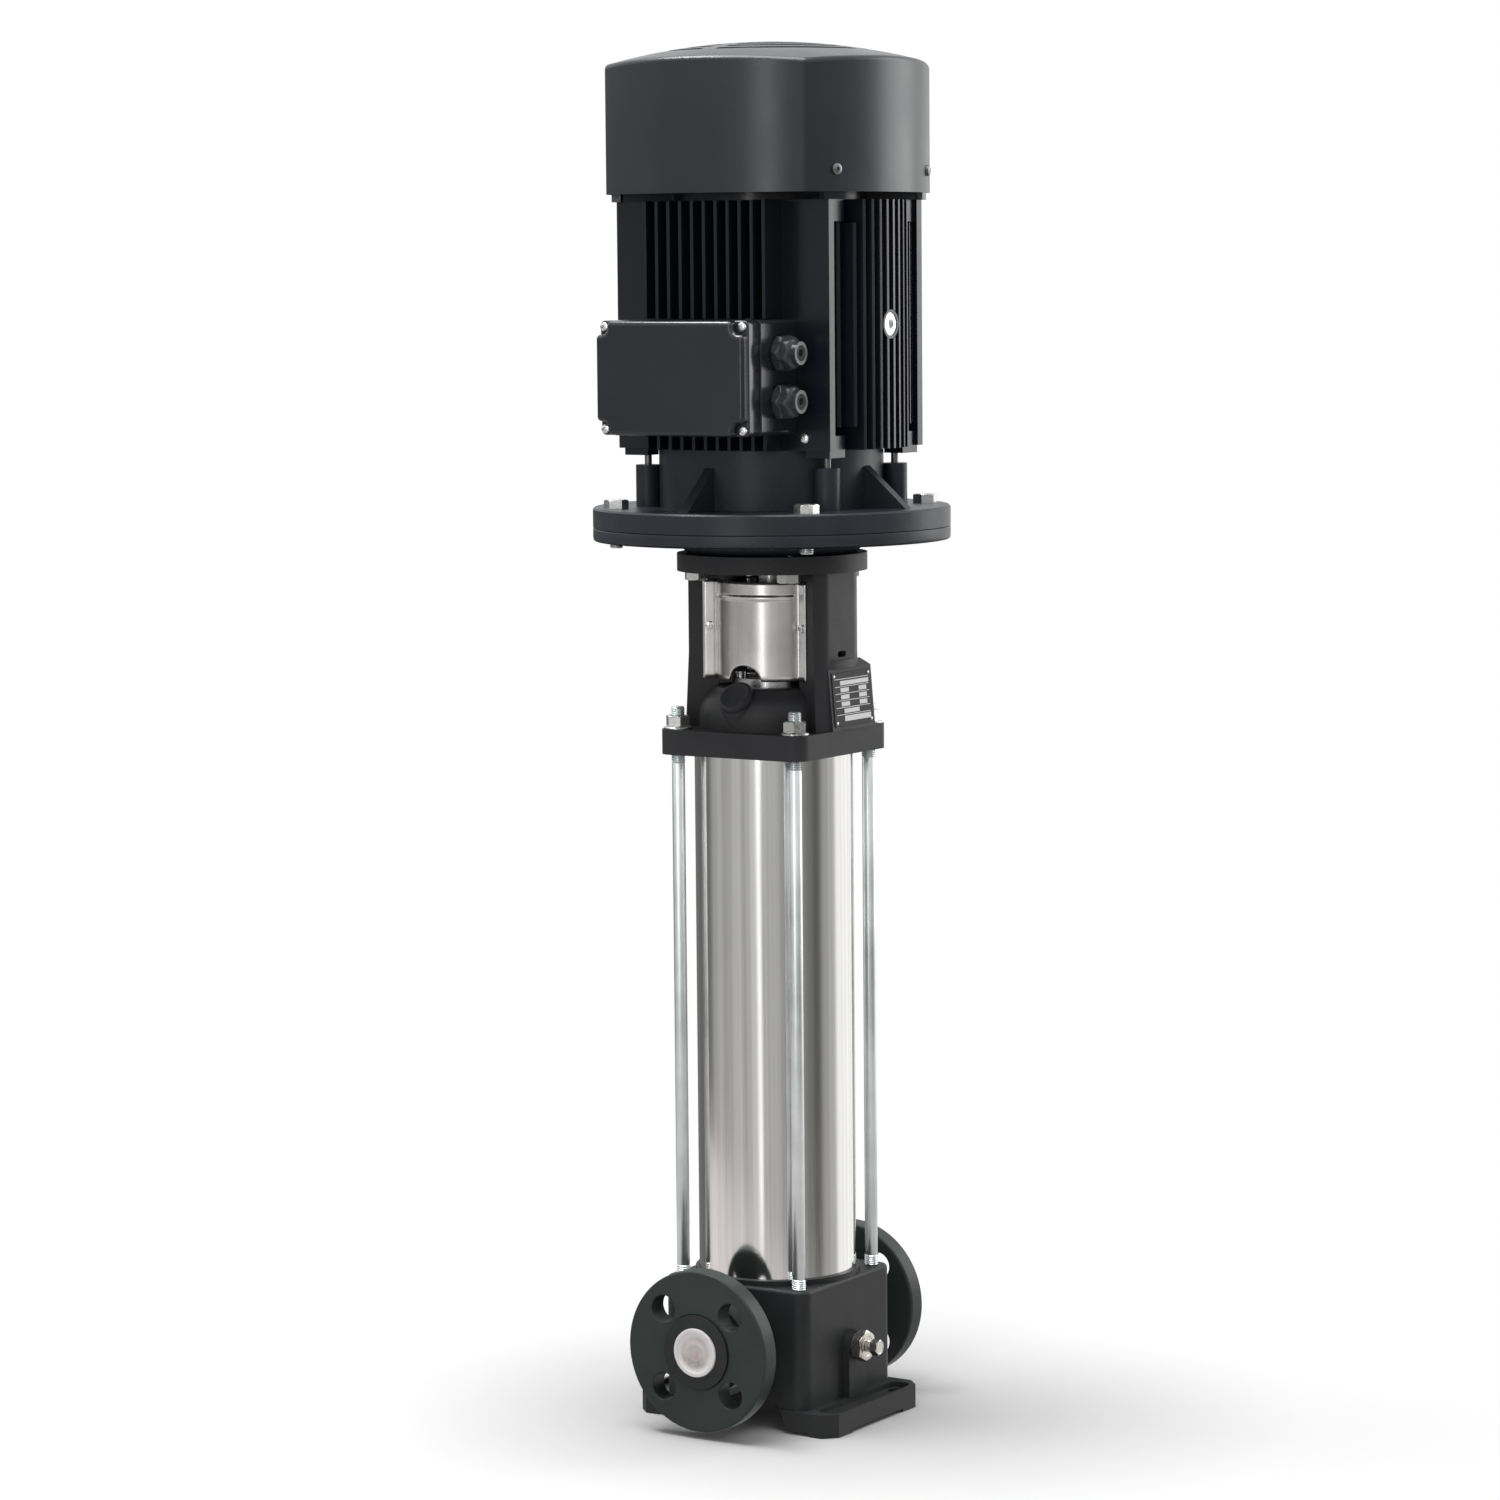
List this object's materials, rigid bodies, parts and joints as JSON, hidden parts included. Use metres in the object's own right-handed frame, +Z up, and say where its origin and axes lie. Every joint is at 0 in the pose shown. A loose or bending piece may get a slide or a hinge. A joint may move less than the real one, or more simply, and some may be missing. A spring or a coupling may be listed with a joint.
{
  "type": "vertical multistage centrifugal pump",
  "caption": "Vertical in-line multistage pump: base with port flanges, polished sleeve between tie rods, motor stool and finned flange motor on top.",
  "frame": {"origin": "on the floor under the shaft, in the middle of the foundation bolts", "axes": "+Z up along the shaft, the two ports in line along Y with the suction at -Y, the drain plug and the cable glands facing +X"},
  "size_m": [0.3, 0.3034, 1.157],
  "materials": {
    "cast_black": "satin black enamel on a cast surface",
    "cast_green": "dark grey-green enamel, satin",
    "cap_plastic": "milky translucent polyethylene",
    "zinc": "bright zinc plate",
    "rod_zinc": "bluish zinc plate, drawn bar",
    "sleeve_steel": "polished stainless steel",
    "guard_steel": "polished stainless sheet",
    "plate_steel": "brushed stainless plate, bare",
    "motor_black": "semi-gloss black enamel",
    "cover_black": "satin blue-black powder coat",
    "box_black": "satin black enamel",
    "gland_plastic": "dark grey polyamide",
    "rubber": "black rubber",
    "seal_carbon": "seal carbon",
    "steel": "machined steel",
    "stage_steel": "pressed stainless steel",
    "laminations": "stacked electrical steel",
    "copper": "enamelled copper wire",
    "fan_plastic": "black plastic",
    "board_plastic": "moulded board"
  },
  "bodies": {
    "pump": {"base_casting": "cast_black", "port_flange_front": "cast_green", "port_flange_back": "cast_green", "drain_plug": "zinc", "outer_sleeve": "sleeve_steel", "sleeve_seals": "rubber", "tie_rods": "rod_zinc", "tie_rod_washers": "zinc", "tie_rod_nuts": "zinc", "pump_head": "cast_black", "data_plate": "plate_steel", "plate_rivets": "steel", "guard_front": "guard_steel", "guard_back": "guard_steel", "guard_screws": "zinc", "seal_seat": "seal_carbon", "seal_gland": "steel", "seal_gland_screws": "zinc", "inlet_chamber": "stage_steel", "shaft_bearing": "seal_carbon", "diffuser_chambers": "stage_steel", "top_chamber": "stage_steel", "adapter_flange": "cast_black", "adapter_bolts": "zinc", "flange_bolts": "zinc", "motor_end_shield": "motor_black", "bearing_outer_rings": "steel", "stator_frame": "motor_black", "side_plug": "zinc", "stator_core": "laminations", "windings": "copper", "upper_end_shield": "motor_black", "through_bolts": "motor_black", "fan_cover": "cover_black", "cover_screws": "zinc", "terminal_box": "box_black", "lid_gasket": "rubber", "terminal_lid": "box_black", "box_screws": "zinc", "terminal_board": "board_plastic", "gland_bodies": "gland_plastic", "gland_seals": "rubber"},
    "rotor": {"motor_shaft": "steel", "rotor_core": "laminations", "bearing_inner_rings": "steel", "fan": "fan_plastic", "coupling_half_left": "steel", "coupling_half_right": "steel", "coupling_screws": "zinc", "coupling_pin": "steel", "pump_shaft": "steel", "impellers": "stage_steel", "seal_head": "steel", "shaft_nut": "steel"},
    "priming_plug": {"priming_plug": "cast_black"},
    "drain_valve": {"drain_valve_screw": "zinc"},
    "gland_nut_upper": {"gland_nut_upper": "gland_plastic"},
    "gland_nut_lower": {"gland_nut_lower": "gland_plastic"},
    "port_cap_front": {"port_cap_front": "cap_plastic"},
    "port_cap_back": {"port_cap_back": "cap_plastic"}
  },
  "joints": [
    {"name": "shaft_spin", "type": "hinge", "parent": "pump", "child": "rotor", "pos_m": [0, 0, 0], "axis": [0, 0, 1], "continuous": true},
    {"name": "priming_plug_turn", "type": "hinge", "parent": "pump", "child": "priming_plug", "pos_m": [0, -0.0554, 0.6132], "axis": [0, -0.7071, 0.7071], "continuous": true},
    {"name": "drain_valve_turn", "type": "hinge", "parent": "pump", "child": "drain_valve", "pos_m": [0.088, 0.0025, 0.0638], "axis": [1, 0, 0], "continuous": true},
    {"name": "gland_nut_upper_turn", "type": "hinge", "parent": "pump", "child": "gland_nut_upper", "pos_m": [0.08, -0.099, 0.9021], "axis": [1, 0, 0], "continuous": true},
    {"name": "gland_nut_lower_turn", "type": "hinge", "parent": "pump", "child": "gland_nut_lower", "pos_m": [0.08, -0.099, 0.8629], "axis": [1, 0, 0], "continuous": true},
    {"name": "port_cap_front_pull", "type": "slide", "parent": "pump", "child": "port_cap_front", "axis": [0, -1, 0], "range_m": [0, 0.06]},
    {"name": "port_cap_back_pull", "type": "slide", "parent": "pump", "child": "port_cap_back", "axis": [0, 1, 0], "range_m": [0, 0.06]}
  ]
}
